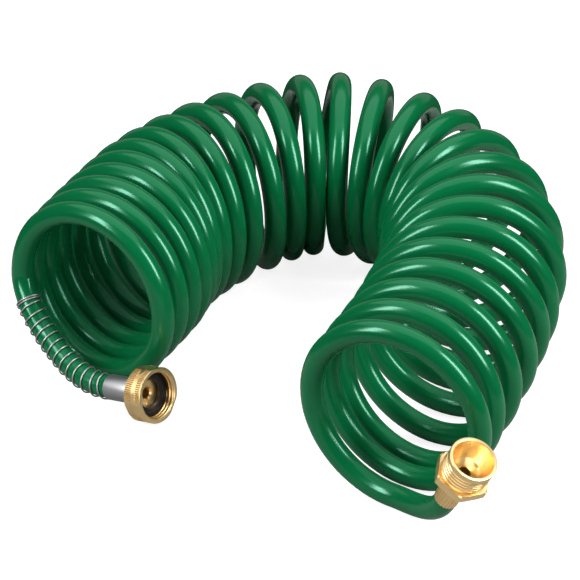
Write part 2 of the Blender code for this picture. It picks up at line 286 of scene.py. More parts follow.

# %% [markdown]
# ## Skins over rows of points
#
# A tube, a turned fitting and a coil of wire are all rows of points with a skin over them. One
# helper makes the tube and the turned pieces, and writes a UV map as it goes: U once round each
# row, V in metres along the rows. Extrusion lines, brushing and turning marks can then follow the
# real shape.


# %% Helpers that skin rows of points
def finish_mesh(mesh, sharp=32.0):
    """Point the faces outwards and shade them smooth, but for the sharp edges."""
    shape = bmesh.new()
    shape.from_mesh(mesh)
    bmesh.ops.recalc_face_normals(shape, faces=shape.faces)
    shape.to_mesh(mesh)
    shape.free()
    mesh.shade_smooth()
    mesh.set_sharp_from_angle(angle=math.radians(sharp))


def skin(name, rows, marks, join_ends=False, sharp=32.0):
    """A closed skin over rows of points, as an object; marks are the rows' places along it."""
    sides = len(rows[0])
    points = [point for row in rows for point in row]
    faces, uvs = [], []
    bands = len(rows) if join_ends else len(rows) - 1
    for i in range(bands):
        k = (i + 1) % len(rows)
        for j in range(sides):
            m = (j + 1) % sides
            faces.append((i * sides + j, i * sides + m, k * sides + m, k * sides + j))
            uvs += [(j / sides, marks[i]), ((j + 1) / sides, marks[i]),
                    ((j + 1) / sides, marks[i + 1]), (j / sides, marks[i + 1])]
    if not join_ends:
        for start in (0, (len(rows) - 1) * sides):
            faces.append(tuple(range(start, start + sides)))
            uvs += [(j / sides, marks[0]) for j in range(sides)]
    mesh = bpy.data.meshes.new(name)
    mesh.from_pydata(points, [], faces)
    layer = mesh.uv_layers.new(name="UVMap")
    for loop, uv in zip(layer.data, uvs):
        loop.uv = uv
    finish_mesh(mesh, sharp)
    piece = bpy.data.objects.new(name, mesh)
    bpy.context.collection.objects.link(piece)
    return piece


def tube(name, path, radius, sides):
    """A round tube along a path, its rows carried on without a twist."""
    rows = []
    side = Vector((0.0, 0.0, 1.0))
    for i, point in enumerate(path):
        ahead = (path[min(i + 1, len(path) - 1)] - path[max(i - 1, 0)]).normalized()
        side = (side - ahead * side.dot(ahead)).normalized()
        across = ahead.cross(side)
        row = []
        for j in range(sides):
            angle = 2 * math.pi * j / sides
            row.append(point + radius * (math.cos(angle) * side + math.sin(angle) * across))
        rows.append(row)
    return skin(name, rows, running_lengths(path))


# %% [markdown]
# ## The hose
#
# The real hose is extruded tube of half-inch outside size, wound hot on a mandrel so that it
# springs back. A bevelled curve would do, but a mesh of rows keeps its UV map, which the
# extrusion lines in its finish follow.

# %% Hose
HOSE_SIDES = 28
hose = tube("garden_hose", route, HOSE_OD / 2, HOSE_SIDES)
print("hose triangles:", 2 * len(hose.data.polygons))

# %% [markdown]
# ## Patterns that several finishes share
#
# Three small node groups are built once. "unrolled place" turns a UV map into a point on a
# cylinder, so that a noise read there has no seam. "fine lines" is noise drawn out along one
# way, for extrusion lines, brushing and turning marks. "handling marks" is the faint cloudiness
# that fingers and wrapping leave on any new thing.


# %% Node group helpers
def new_group(name, inputs, outputs):
    """A shader node group with named sockets: (name, kind, default)."""
    group = bpy.data.node_groups.new(name, "ShaderNodeTree")
    for label, kind, value in inputs:
        socket = group.interface.new_socket(name=label, in_out="INPUT", socket_type=kind)
        if value is not None:
            socket.default_value = value
    for label, kind in outputs:
        group.interface.new_socket(name=label, in_out="OUTPUT", socket_type=kind)
    return group, group.nodes.new("NodeGroupInput"), group.nodes.new("NodeGroupOutput")


def compute(tree, operation, first, second=0.0):
    """A Math node on sockets or numbers, in a tree of either kind; returns its output."""
    node = tree.nodes.new("ShaderNodeMath")
    node.operation = operation
    for socket, value in zip(node.inputs, (first, second)):
        if isinstance(value, bpy.types.NodeSocket):
            tree.links.new(value, socket)
        else:
            socket.default_value = value
    return node.outputs[0]


def build_unrolled_place():
    """UV map to a seamless point: Girth stretches it round the piece, Run along it."""
    group, come, go = new_group(
        "unrolled place",
        [("UV", "NodeSocketVector", None), ("Girth", "NodeSocketFloat", 1.0),
         ("Run", "NodeSocketFloat", 1.0)],
        [("Place", "NodeSocketVector")])
    split = group.nodes.new("ShaderNodeSeparateXYZ")
    group.links.new(come.outputs["UV"], split.inputs[0])
    angle = compute(group, "MULTIPLY", split.outputs["X"], 2 * math.pi)
    joined = group.nodes.new("ShaderNodeCombineXYZ")
    across = compute(group, "MULTIPLY", compute(group, "COSINE", angle), come.outputs["Girth"])
    upward = compute(group, "MULTIPLY", compute(group, "SINE", angle), come.outputs["Girth"])
    along = compute(group, "MULTIPLY", split.outputs["Y"], come.outputs["Run"])
    group.links.new(across, joined.inputs["X"])
    group.links.new(upward, joined.inputs["Y"])
    group.links.new(along, joined.inputs["Z"])
    group.links.new(joined.outputs[0], go.inputs["Place"])
    return group


def build_fine_lines():
    """Fine lines: a mask, and a roughness that wavers with it."""
    group, come, go = new_group(
        "fine lines",
        [("Place", "NodeSocketVector", None), ("Roughness", "NodeSocketFloat", 0.3),
         ("Waver", "NodeSocketFloat", 0.1)],
        [("Lines", "NodeSocketFloat"), ("Roughness", "NodeSocketFloat")])
    noise = group.nodes.new("ShaderNodeTexNoise")
    noise.inputs["Scale"].default_value = 1.0
    noise.inputs["Detail"].default_value = 3.0
    noise.inputs["Roughness"].default_value = 0.6
    group.links.new(come.outputs["Place"], noise.inputs["Vector"])
    centred = compute(group, "SUBTRACT", noise.outputs["Fac"], 0.5)
    waver = compute(group, "MULTIPLY", centred, come.outputs["Waver"])
    total = compute(group, "ADD", waver, come.outputs["Roughness"])
    group.links.new(noise.outputs["Fac"], go.inputs["Lines"])
    group.links.new(total, go.inputs["Roughness"])
    return group


def build_handling_marks():
    """Cloudy marks: a colour made a little paler or darker."""
    group, come, go = new_group(
        "handling marks",
        [("Colour", "NodeSocketColor", (0.5, 0.5, 0.5, 1.0)), ("Size", "NodeSocketFloat", 60.0),
         ("Strength", "NodeSocketFloat", 0.1)],
        [("Colour", "NodeSocketColor")])
    place = group.nodes.new("ShaderNodeTexCoord")
    noise = group.nodes.new("ShaderNodeTexNoise")
    noise.inputs["Detail"].default_value = 4.0
    group.links.new(place.outputs["Object"], noise.inputs["Vector"])
    group.links.new(come.outputs["Size"], noise.inputs["Scale"])
    centred = compute(group, "SUBTRACT", noise.outputs["Fac"], 0.5)
    swing = compute(group, "MULTIPLY", centred, come.outputs["Strength"])
    level = compute(group, "ADD", swing, 1.0)
    shade = group.nodes.new("ShaderNodeVectorMath")
    shade.operation = "SCALE"
    group.links.new(come.outputs["Colour"], shade.inputs[0])
    group.links.new(level, shade.inputs["Scale"])
    group.links.new(shade.outputs[0], go.inputs["Colour"])
    return group


unrolled_place = build_unrolled_place()
fine_lines = build_fine_lines()
handling_marks = build_handling_marks()

# %% [markdown]
# ## The finishes
#
# Every finish is one Principled shader. What differs is its colour, how polished it is, and which
# way its fine lines run: along the hose, along the brushed ferrule, round the turned brass. One
# helper builds them all from those few values.


# %% A helper that builds a finish
MARKS_STRENGTH = 0.12
MARKS_SIZE = 60.0


def make_finish(name, colour, roughness, waver, girth, run, depth, metallic=0.0):
    """A Principled finish with fine lines and handling marks; returns it and its shader."""
    material = bpy.data.materials.new(name)
    material.use_nodes = True
    tree = material.node_tree
    shader = tree.nodes["Principled BSDF"]
    uv = tree.nodes.new("ShaderNodeTexCoord")

    def place_group(group, **values):
        node = tree.nodes.new("ShaderNodeGroup")
        node.node_tree = group
        for label, value in values.items():
            node.inputs[label].default_value = value
        return node

    unrolled = place_group(unrolled_place, Girth=girth, Run=run)
    lines = place_group(fine_lines, Roughness=roughness, Waver=waver)
    cloud = place_group(
        handling_marks, Colour=(*colour, 1.0), Size=MARKS_SIZE, Strength=MARKS_STRENGTH)
    shader.inputs["Metallic"].default_value = metallic
    bump = tree.nodes.new("ShaderNodeBump")
    bump.inputs["Distance"].default_value = depth
    bump.inputs["Strength"].default_value = 1.0
    tree.links.new(uv.outputs["UV"], unrolled.inputs["UV"])
    tree.links.new(unrolled.outputs["Place"], lines.inputs["Place"])
    tree.links.new(lines.outputs["Lines"], bump.inputs["Height"])
    tree.links.new(lines.outputs["Roughness"], shader.inputs["Roughness"])
    tree.links.new(cloud.outputs["Colour"], shader.inputs["Base Color"])
    tree.links.new(bump.outputs["Normal"], shader.inputs["Normal"])
    return material, shader


# %% [markdown]
# ## Four finishes
#
# The hose is glossy plastic, with its reflections tinted green as the photograph shows them. The
# brass carries the fine rings of a lathe, the steel is brushed lengthwise and duller, and the
# washer's rubber is almost black.

# %% Finishes
green, green_shader = make_finish(
    "green_hose", (0.001, 0.118, 0.036),
    roughness=0.21, waver=0.06, girth=5.0, run=3.0, depth=0.000006)
green_shader.inputs["Specular IOR Level"].default_value = 0.55
green_shader.inputs["Specular Tint"].default_value = (0.45, 1.0, 0.78, 1.0)
brass, _ = make_finish(
    "turned_brass", (0.93, 0.67, 0.32),
    roughness=0.30, waver=0.16, girth=0.6, run=5000.0, depth=0.000006, metallic=1.0)
steel, _ = make_finish(
    "brushed_steel", (0.42, 0.42, 0.43),
    roughness=0.42, waver=0.20, girth=40.0, run=60.0, depth=0.000006, metallic=1.0)
rubber, _ = make_finish(
    "black_rubber", (0.004, 0.004, 0.006),
    roughness=0.45, waver=0.10, girth=3.0, run=900.0, depth=0.00002)
hose.data.materials.append(green)
print("finishes:", [finish.name for finish in (green, brass, steel, rubber)])

# %% [markdown]
# ## Helpers for the couplings
#
# The brass and steel pieces are turned on a lathe, so they are made the same way: a closed
# profile is spun about the coupling's own axis. A hexagon or a wrench flat is the same round cut
# back at some angles. Each finished piece says which body carries it and which plain solid it
# stands for.


# %% Turned shapes
def turned(name, profile, place, finish, sides=96, sharp=32.0):
    """Spin a closed profile of (radius, height[, shape]) about Z, and set it in its place."""
    rows, marks = [], [0.0]
    for radius, height, *shape in profile:
        row = []
        for j in range(sides):
            angle = 2 * math.pi * j / sides
            reach = shape[0](radius, angle) if shape else radius
            row.append(place @ Vector((reach * math.cos(angle), reach * math.sin(angle), height)))
        rows.append(row)
    ends = [*profile[1:], profile[0]]
    for before, after in zip(profile, ends):
        marks.append(marks[-1] + math.hypot(after[0] - before[0], after[1] - before[1]))
    piece = skin(name, rows, marks, join_ends=True, sharp=sharp)
    piece.data.materials.append(finish)
    return piece


def dress(piece, body, slot, *nodes):
    """Let a piece ride on its body and stand for its plain solids; the slot is not used."""
    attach(piece, body)
    if nodes:
        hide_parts(*nodes)
    print(piece.name, "triangles:", sum(len(face.vertices) - 2 for face in piece.data.polygons))


dress(hose, "hose", "green_hose", "hose_coil", "hose_inlet_lead", "hose_outlet_lead")

# %% [markdown]
# ## Growing what repeats
#
# Knurls, flutes, threads and the spring are one small shape repeated or one section swept along a
# path. Geometry Nodes do both from a few named sizes. Three trees are enough: a ring of ribs, a
# thread ridge, and a wire wound round a line. Each ends in Realize Instances and Set Material, and
# the result is kept as a plain mesh.


# %% Helpers for the trees
def new_tree(name, inputs):
    """A geometry tree with named inputs, its input and output nodes, and a way to link."""
    tree = bpy.data.node_groups.new(name, "GeometryNodeTree")
    tree.interface.new_socket(name="Geometry", in_out="INPUT", socket_type="NodeSocketGeometry")
    tree.interface.new_socket(name="Geometry", in_out="OUTPUT", socket_type="NodeSocketGeometry")
    for label, kind in inputs:
        tree.interface.new_socket(name=label, in_out="INPUT", socket_type=kind)
    tree.interface.new_socket(name="Material", in_out="INPUT", socket_type="NodeSocketMaterial")
    return tree, tree.nodes.new("NodeGroupInput"), tree.nodes.new("NodeGroupOutput")


def put(tree, kind, **links):
    """Add a node; each keyword names an input, with _ for a space, and gives a link or a value."""
    node = tree.nodes.new(kind)
    for label, value in links.items():
        socket = node.inputs[label.replace("_", " ")]
        if isinstance(value, bpy.types.NodeSocket):
            tree.links.new(value, socket)
        else:
            socket.default_value = value
    return node


def close_tree(tree, come, go, geometry):
    """End a tree in Realize Instances and Set Material."""
    real = put(tree, "GeometryNodeRealizeInstances", Geometry=geometry)
    coloured = put(
        tree, "GeometryNodeSetMaterial", Geometry=real.outputs[0],
        Material=come.outputs["Material"])
    tree.links.new(coloured.outputs[0], go.inputs["Geometry"])
    return tree


def grow(name, tree, finish, place=None, line=(), smooth_shade=False, **values):
    """Run a tree, on a line of points if it needs one, and keep its result as a plain mesh."""
    base = bpy.data.meshes.new(name + "_line")
    base.from_pydata(list(line), [(i, i + 1) for i in range(len(line) - 1)], [])
    carrier = bpy.data.objects.new(name + "_line", base)
    bpy.context.collection.objects.link(carrier)
    modifier = carrier.modifiers.new("grow", "NODES")
    modifier.node_group = tree
    values["Material"] = finish
    for item in tree.interface.items_tree:
        label = item.name.replace(" ", "_")
        if item.in_out == "INPUT" and label in values:
            modifier[item.identifier] = values[label]
    depsgraph = bpy.context.evaluated_depsgraph_get()
    mesh = bpy.data.meshes.new_from_object(carrier.evaluated_get(depsgraph), depsgraph=depsgraph)
    carrier.modifiers.clear()
    bpy.data.objects.remove(carrier)
    layer = mesh.uv_layers.get("UVMap") or mesh.uv_layers.new(name="UVMap")
    for loop in mesh.loops:
        spot = mesh.vertices[loop.vertex_index].co
        layer.data[loop.index].uv = (math.atan2(spot.y, spot.x) / (2 * math.pi), spot.z)
    if place is not None:
        mesh.transform(place)
    if smooth_shade:
        mesh.shade_smooth()
    piece = bpy.data.objects.new(name, mesh)
    bpy.context.collection.objects.link(piece)
    return piece


# %% [markdown]
# ## Ribs
#
# A knurl is a ring of small ribs, each a block that narrows towards its crest. Ribs that would
# stand on a wrench flat are left out, as if the flat were cut after the knurling.

# %% Tree of ribs round a ring
def build_rib_ring():
    """Ribs that stand on a round, all but those that would fall on a wrench flat."""
    tree, come, go = new_tree("rib ring", [
        ("Count", "NodeSocketInt"), ("Radius", "NodeSocketFloat"), ("Depth", "NodeSocketFloat"),
        ("Width", "NodeSocketFloat"), ("Crest", "NodeSocketFloat"), ("Start", "NodeSocketFloat"),
        ("Length", "NodeSocketFloat"), ("Flats", "NodeSocketFloat"),
        ("First flat", "NodeSocketFloat"), ("Half flat", "NodeSocketFloat")])
    size = put(tree, "ShaderNodeCombineXYZ", X=come.outputs["Depth"], Y=come.outputs["Width"],
               Z=come.outputs["Length"])
    block = put(tree, "GeometryNodeMeshCube", Size=size.outputs[0])
    position = tree.nodes.new("GeometryNodeInputPosition").outputs[0]
    spot = put(tree, "ShaderNodeSeparateXYZ", Vector=position)
    outside = compute(tree, "GREATER_THAN", spot.outputs["X"], 0.0)
    narrowing = compute(tree, "SUBTRACT", come.outputs["Crest"], 1.0)
    drawn = compute(tree, "MULTIPLY", spot.outputs["Y"], narrowing)
    pull = compute(tree, "MULTIPLY", drawn, outside)
    inward = put(tree, "ShaderNodeCombineXYZ", Y=pull)
    rib = put(
        tree, "GeometryNodeSetPosition", Geometry=block.outputs["Mesh"], Offset=inward.outputs[0])
    half_depth = compute(tree, "MULTIPLY", come.outputs["Depth"], 0.5)
    half_length = compute(tree, "MULTIPLY", come.outputs["Length"], 0.5)
    out = compute(tree, "ADD", come.outputs["Radius"], half_depth)
    height = compute(tree, "ADD", come.outputs["Start"], half_length)
    reach = put(tree, "ShaderNodeCombineXYZ", X=out, Z=height)
    placed = put(
        tree, "GeometryNodeTransform", Geometry=rib.outputs[0], Translation=reach.outputs[0])
    spots = put(tree, "GeometryNodeMeshLine", Count=come.outputs["Count"], Offset=(0.0, 0.0, 0.0))
    step = compute(tree, "DIVIDE", 2 * math.pi, come.outputs["Count"])
    angle = compute(tree, "MULTIPLY", tree.nodes.new("GeometryNodeInputIndex").outputs[0], step)
    pitch = compute(tree, "DIVIDE", 2 * math.pi, come.outputs["Flats"])
    half_pitch = compute(tree, "MULTIPLY", pitch, 0.5)
    from_flat = compute(tree, "SUBTRACT", angle, come.outputs["First flat"])
    ahead = compute(tree, "ADD", from_flat, half_pitch)
    wrapped = compute(tree, "FLOORED_MODULO", ahead, pitch)
    beside = compute(tree, "ABSOLUTE", compute(tree, "SUBTRACT", wrapped, half_pitch))
    clear = compute(tree, "GREATER_THAN", beside, come.outputs["Half flat"])
    turn = put(tree, "ShaderNodeCombineXYZ", Z=angle)
    ring = put(
        tree, "GeometryNodeInstanceOnPoints", Points=spots.outputs[0],
        Instance=placed.outputs[0], Selection=clear, Rotation=turn.outputs[0])
    return close_tree(tree, come, go, ring.outputs[0])


rib_ring = build_rib_ring()


# %% [markdown]
# ## Threads
#
# A thread is a ridge along a spiral. A circle swept along it and sunk halfway into the metal is
# plain to make, and its round crest is what a rolled hose thread has. It fades out at both ends.

# %% Tree of a thread ridge
RIDGE_SIDES = 8
RIDGE_END = 0.05
SPIRAL_STEPS = 72


def build_thread_ridge():
    """A ridge wound on a round, which runs out to nothing at both ends."""
    tree, come, go = new_tree("thread ridge", [
        ("Radius", "NodeSocketFloat"), ("Start", "NodeSocketFloat"), ("Pitch", "NodeSocketFloat"),
        ("Turns", "NodeSocketFloat"), ("Half height", "NodeSocketFloat"),
        ("Run out", "NodeSocketFloat")])
    height = compute(tree, "MULTIPLY", come.outputs["Pitch"], come.outputs["Turns"])
    spiral = put(
        tree, "GeometryNodeCurveSpiral", Resolution=SPIRAL_STEPS,
        Rotations=come.outputs["Turns"], Start_Radius=come.outputs["Radius"],
        End_Radius=come.outputs["Radius"], Height=height)
    lift = put(tree, "ShaderNodeCombineXYZ", Z=come.outputs["Start"])
    raised = put(
        tree, "GeometryNodeTransform", Geometry=spiral.outputs[0], Translation=lift.outputs[0])
    share = tree.nodes.new("GeometryNodeSplineParameter").outputs["Factor"]
    to_end = compute(tree, "MINIMUM", share, compute(tree, "SUBTRACT", 1.0, share))
    grown = compute(tree, "MINIMUM", compute(tree, "DIVIDE", to_end, come.outputs["Run out"]), 1.0)
    eased = compute(tree, "MAXIMUM", grown, RIDGE_END)
    ridge = put(tree, "GeometryNodeSetCurveRadius", Curve=raised.outputs[0], Radius=eased)
    section = put(tree, "GeometryNodeCurvePrimitiveCircle", Resolution=RIDGE_SIDES,
                  Radius=come.outputs["Half height"])
    swept = put(
        tree, "GeometryNodeCurveToMesh", Curve=ridge.outputs[0],
        Profile_Curve=section.outputs[0], Fill_Caps=True)
    if "Scale" in swept.inputs:
        tree.links.new(eased, swept.inputs["Scale"])
    return close_tree(tree, come, go, swept.outputs[0])


thread_ridge = build_thread_ridge()


# %% [markdown]
# ## A wound wire
#
# The spring follows the hose as it bends, so it can't be a straight spiral. The tree moves each
# point of a fine line sideways, by an angle that grows with the distance along it.

# %% Tree of a wire wound round a line
WIRE_SIDES = 10


def build_wound_wire():
    """A wire round a line, at an open pitch first and a close one at its end."""
    tree, come, go = new_tree("wound wire", [
        ("Points", "NodeSocketInt"), ("Radius", "NodeSocketFloat"), ("Wire", "NodeSocketFloat"),
        ("Pitch", "NodeSocketFloat"), ("Open length", "NodeSocketFloat"),
        ("End pitch", "NodeSocketFloat"), ("Phase", "NodeSocketFloat")])
    line = put(tree, "GeometryNodeMeshToCurve", Mesh=come.outputs["Geometry"])
    even = put(
        tree, "GeometryNodeResampleCurve", Curve=line.outputs[0], Count=come.outputs["Points"])
    along = tree.nodes.new("GeometryNodeSplineParameter").outputs["Length"]
    first = compute(tree, "MINIMUM", along, come.outputs["Open length"])
    past = compute(tree, "SUBTRACT", along, come.outputs["Open length"])
    rest = compute(tree, "MAXIMUM", past, 0.0)
    turns = compute(tree, "ADD", compute(tree, "DIVIDE", first, come.outputs["Pitch"]),
                    compute(tree, "DIVIDE", rest, come.outputs["End pitch"]))
    swing = compute(tree, "MULTIPLY", turns, 2 * math.pi)
    angle = compute(tree, "ADD", swing, come.outputs["Phase"])
    normal = tree.nodes.new("GeometryNodeInputNormal").outputs[0]
    ahead = tree.nodes.new("GeometryNodeInputTangent").outputs[0]
    across = tree.nodes.new("ShaderNodeVectorMath")
    across.operation = "CROSS_PRODUCT"
    tree.links.new(ahead, across.inputs[0])
    tree.links.new(normal, across.inputs[1])
    parts = []
    for way, wave in ((normal, "COSINE"), (across.outputs[0], "SINE")):
        part = tree.nodes.new("ShaderNodeVectorMath")
        part.operation = "SCALE"
        tree.links.new(way, part.inputs[0])
        reach = compute(tree, "MULTIPLY", compute(tree, wave, angle), come.outputs["Radius"])
        tree.links.new(reach, part.inputs["Scale"])
        parts.append(part.outputs[0])
    out = tree.nodes.new("ShaderNodeVectorMath")
    out.operation = "ADD"
    tree.links.new(parts[0], out.inputs[0])
    tree.links.new(parts[1], out.inputs[1])
    wound = put(tree, "GeometryNodeSetPosition", Geometry=even.outputs[0], Offset=out.outputs[0])
    section = put(tree, "GeometryNodeCurvePrimitiveCircle", Resolution=WIRE_SIDES,
                  Radius=compute(tree, "MULTIPLY", come.outputs["Wire"], 0.5))
    swept = put(
        tree, "GeometryNodeCurveToMesh", Curve=wound.outputs[0],
        Profile_Curve=section.outputs[0], Fill_Caps=True)
    return close_tree(tree, come, go, swept.outputs[0])


wound_wire = build_wound_wire()

# %% [markdown]
# ## The spring guard
#
# A spring of thin steel wire keeps the hose from kinking where it leaves the tap. Its coils stand
# open along the lead, and two close ones finish its free end. The wire follows the lead's own
# middle line, so it bends as the hose does.

# %% Spring guard
GUARD_WIRE = 0.0009
GUARD_BORE = 0.0132
GUARD_PITCH = 0.0058
GUARD_TURNS = 13
GUARD_END_PITCH = 0.0013
GUARD_END_TURNS = 2
GUARD_POINTS = 1100
GUARD_PHASE = 0.0
GUARD_STEPS = 60

guard_open = GUARD_TURNS * GUARD_PITCH
guard_length = guard_open + GUARD_END_TURNS * GUARD_END_PITCH
inlet_run = [point + SHIFT for point in inlet_line[::-1]]
inlet_lengths = running_lengths(inlet_run)
guard_marks = [GUARD_WIRE + guard_length * i / GUARD_STEPS for i in range(GUARD_STEPS + 1)]
guard_line = [point_along(inlet_lengths, inlet_run, mark) for mark in guard_marks]
guard = grow(
    "guard_spring", wound_wire, steel, line=guard_line, smooth_shade=True,
    Points=GUARD_POINTS, Radius=(GUARD_BORE + GUARD_WIRE) / 2, Wire=GUARD_WIRE,
    Pitch=GUARD_PITCH, Open_length=guard_open, End_pitch=GUARD_END_PITCH, Phase=GUARD_PHASE)
dress(guard, "hose", "stainless_steel", "spring_guard")

# %% [markdown]
# ## The inlet ferrule
#
# A plain sleeve of stainless steel is crimped over the hose and the fitting's barb. It is a tube
# with a softened lip where the hose goes in.

# %% Inlet ferrule
INLET_FERRULE_OD = 0.0143
SLEEVE_BORE = 0.0129
SLEEVE_LIP = 0.0004
LIP_CORNER = SLEEVE_LIP * 0.3
BARB_OD = 0.0094

sleeve_r = INLET_FERRULE_OD / 2
sleeve_end = INLET_FERRULE_LENGTH
inlet_sleeve = turned("inlet_sleeve", [
    (SLEEVE_BORE / 2, 0.0), (sleeve_r - SLEEVE_LIP, 0.0), (sleeve_r - LIP_CORNER, LIP_CORNER),
    (sleeve_r, SLEEVE_LIP), (sleeve_r, sleeve_end - SLEEVE_LIP),
    (sleeve_r - LIP_CORNER, sleeve_end - LIP_CORNER), (sleeve_r - SLEEVE_LIP, sleeve_end),
    (BARB_OD / 2, sleeve_end), (BARB_OD / 2, TUCK), (SLEEVE_BORE / 2, TUCK)], inlet_frame, steel)
dress(inlet_sleeve, "hose", "stainless_steel", "inlet_ferrule")

# %% [markdown]
# ## The swivel nut
#
# The nut turns freely on the tail and screws on to a tap. Two straight-knurled bands give the
# fingers grip, a smooth belt runs between them, and three flats take a wrench. The body is a
# turned shape cut back at the flats; the knurls are ribs of their own, which the tree leaves out
# over the flats. Inside are the thread's ridges and the seat of the washer.

# %% Nut body
NUT_LENGTH = 0.0122
NUT_OD = 0.0315
NUT_REAR_BORE = 0.0158
NUT_WALL = 0.0018
NUT_THREAD_ROOT = 0.0264
NUT_MOUTH_BORE = 0.0272
NUT_SIDES = 144
KNURL_DEPTH = 0.00045
REAR_BAND = (0.0008, 0.0048)
FRONT_BAND = (0.0080, 0.0110)
BELT_DEPTH = 0.00030
EDGE = 0.0002
FLAT_HALF = math.radians(20)
FLAT_SLACK = 0.001
FLAT_MIDDLES = [math.radians(angle) for angle in (80, 200, 320)]

nut_frame = inlet_frame @ Matrix.Translation((0.0, 0.0, NUT_START))
nut_r = NUT_OD / 2
flat_reach = nut_r * math.cos(FLAT_HALF)


def with_flats(radius, angle):
    """A round's reach at an angle, cut back by the wrench flats."""
    for middle in FLAT_MIDDLES:
        aside = (angle - middle + math.pi) % (2 * math.pi) - math.pi
        if abs(aside) <= FLAT_HALF + FLAT_SLACK:
            radius = min(radius, flat_reach / math.cos(aside))
    return radius


def nut_out(radius, height):
    """A point of the nut's outside, with its flats."""
    return (radius, height, with_flats)


knurl_root = nut_r - KNURL_DEPTH
belt_r = nut_r - BELT_DEPTH
swivel = turned("nut_body", [
    (NUT_REAR_BORE / 2, 0.0), nut_out(nut_r - 0.0012, 0.0), nut_out(nut_r - 0.0006, EDGE),
    nut_out(knurl_root, REAR_BAND[0]), nut_out(knurl_root, REAR_BAND[1]),
    nut_out(belt_r, REAR_BAND[1] + EDGE), nut_out(belt_r, FRONT_BAND[0] - EDGE),
    nut_out(knurl_root, FRONT_BAND[0]), nut_out(knurl_root, FRONT_BAND[1]),
    nut_out(nut_r, FRONT_BAND[1] + EDGE), nut_out(nut_r, NUT_LENGTH - 0.0005),
    nut_out(nut_r - EDGE, NUT_LENGTH - 0.0001), nut_out(nut_r - 0.0006, NUT_LENGTH),
    (NUT_MOUTH_BORE / 2 + EDGE, NUT_LENGTH), (NUT_MOUTH_BORE / 2, NUT_LENGTH - EDGE),
    (NUT_THREAD_ROOT / 2, NUT_LENGTH - 0.0010), (NUT_THREAD_ROOT / 2, NUT_WALL),
    (NUT_REAR_BORE / 2, NUT_WALL)], nut_frame, brass, sides=NUT_SIDES, sharp=25.0)
dress(swivel, "swivel_nut", "brass", "swivel_nut")

# %% [markdown]
# ### Its knurls and its thread
#
# The ribs' feet are sunk a little into the nut, so that no slit shows under them. The thread
# stands in the front half of the bore, where the open mouth shows it.

# %% Nut knurls and thread
KNURL_COUNT = 84
KNURL_WIDTH = 0.00100
KNURL_CREST = 0.25
KNURL_CLEARANCE = 0.02
RIB_SINK = 0.0002
THREAD_PITCH = 0.0022
THREAD_HALF = 0.00085
NUT_THREAD_START = 0.0066
NUT_THREAD_TURNS = 2.4
NUT_THREAD_RUN_OUT = 0.08

for label, (start, stop) in (("rear", REAR_BAND), ("front", FRONT_BAND)):
    knurl = grow(
        f"nut_knurl_{label}", rib_ring, brass, nut_frame, Count=KNURL_COUNT,
        Radius=knurl_root - RIB_SINK, Depth=KNURL_DEPTH + RIB_SINK, Width=KNURL_WIDTH,
        Crest=KNURL_CREST, Start=start, Length=stop - start, Flats=float(len(FLAT_MIDDLES)),
        First_flat=FLAT_MIDDLES[0], Half_flat=FLAT_HALF + KNURL_CLEARANCE)
    dress(knurl, "swivel_nut", "brass")

nut_thread = grow(
    "nut_thread", thread_ridge, brass, nut_frame, smooth_shade=True,
    Radius=NUT_THREAD_ROOT / 2 + 0.0001, Start=NUT_THREAD_START, Pitch=THREAD_PITCH,
    Turns=NUT_THREAD_TURNS, Half_height=THREAD_HALF, Run_out=NUT_THREAD_RUN_OUT)
dress(nut_thread, "swivel_nut", "brass")

# %% [markdown]
# ## The tail and the washer
#
# Inside the nut the tail's flange carries the black rubber washer. Only a disc of brass and the
# small water hole show through the washer's middle. Rings on the washer are moulded in.

# %% Tail and washer
FACE_GAP = 0.0003
TAIL_BORE = 0.0062
TAIL_NECK_OD = 0.0150
TAIL_FLANGE_OD = 0.0248
TAIL_FLANGE = 0.0015
BARB_LENGTH = 0.018
BARB_GAP = 0.0002
WASHER_OD = 0.0252
WASHER_ID = 0.0162
WASHER_THICKNESS = 0.0026
WASHER_ROUND = 0.0003

neck_start = INLET_FERRULE_LENGTH + FACE_GAP
flange_start = NUT_START + NUT_WALL + FACE_GAP
flange_face = flange_start + TAIL_FLANGE
tail = turned("tail_insert", [
    (TAIL_BORE / 2, neck_start - BARB_LENGTH), (BARB_OD / 2 - BARB_GAP, neck_start - BARB_LENGTH),
    (BARB_OD / 2 - BARB_GAP, neck_start), (TAIL_NECK_OD / 2, neck_start),
    (TAIL_NECK_OD / 2, flange_start), (TAIL_FLANGE_OD / 2 - EDGE, flange_start),
    (TAIL_FLANGE_OD / 2, flange_start + EDGE),
    (TAIL_FLANGE_OD / 2, flange_face), (TAIL_BORE / 2 + 0.0008, flange_face),
    (TAIL_BORE / 2, flange_face - 0.0010)], inlet_frame, brass)
dress(tail, "hose", "brass", "inlet_tail")

washer_low = flange_face + FACE_GAP
washer_high = washer_low + WASHER_THICKNESS
washer_dip = washer_high - WASHER_ROUND
ring_in, ring_out = WASHER_ID / 2, WASHER_OD / 2
washer = turned("seal_washer", [
    (ring_in, washer_low + WASHER_ROUND), (ring_in + WASHER_ROUND, washer_low),
    (ring_out - WASHER_ROUND, washer_low), (ring_out, washer_low + WASHER_ROUND),
    (ring_out, washer_high - 0.0004), (ring_out - 0.0004, washer_high),
    (ring_out - 0.0011, washer_high), (ring_out - 0.0013, washer_dip),
    (ring_out - 0.0017, washer_dip), (ring_out - 0.0019, washer_high),
    (ring_in + 0.0016, washer_high), (ring_in + 0.0014, washer_dip),
    (ring_in + 0.0010, washer_dip), (ring_in + 0.0008, washer_high),
    (ring_in + WASHER_ROUND, washer_high), (ring_in, washer_dip)], inlet_frame, rubber)
dress(washer, "swivel_nut", "black_rubber", "inlet_washer")

# %% [markdown]
# ## The outlet ferrule
#
# The other end's sleeve is brass, pressed with straight flutes. It is a thin tube with a ring of
# broad ribs on it, and the same tree as the knurls' makes them.

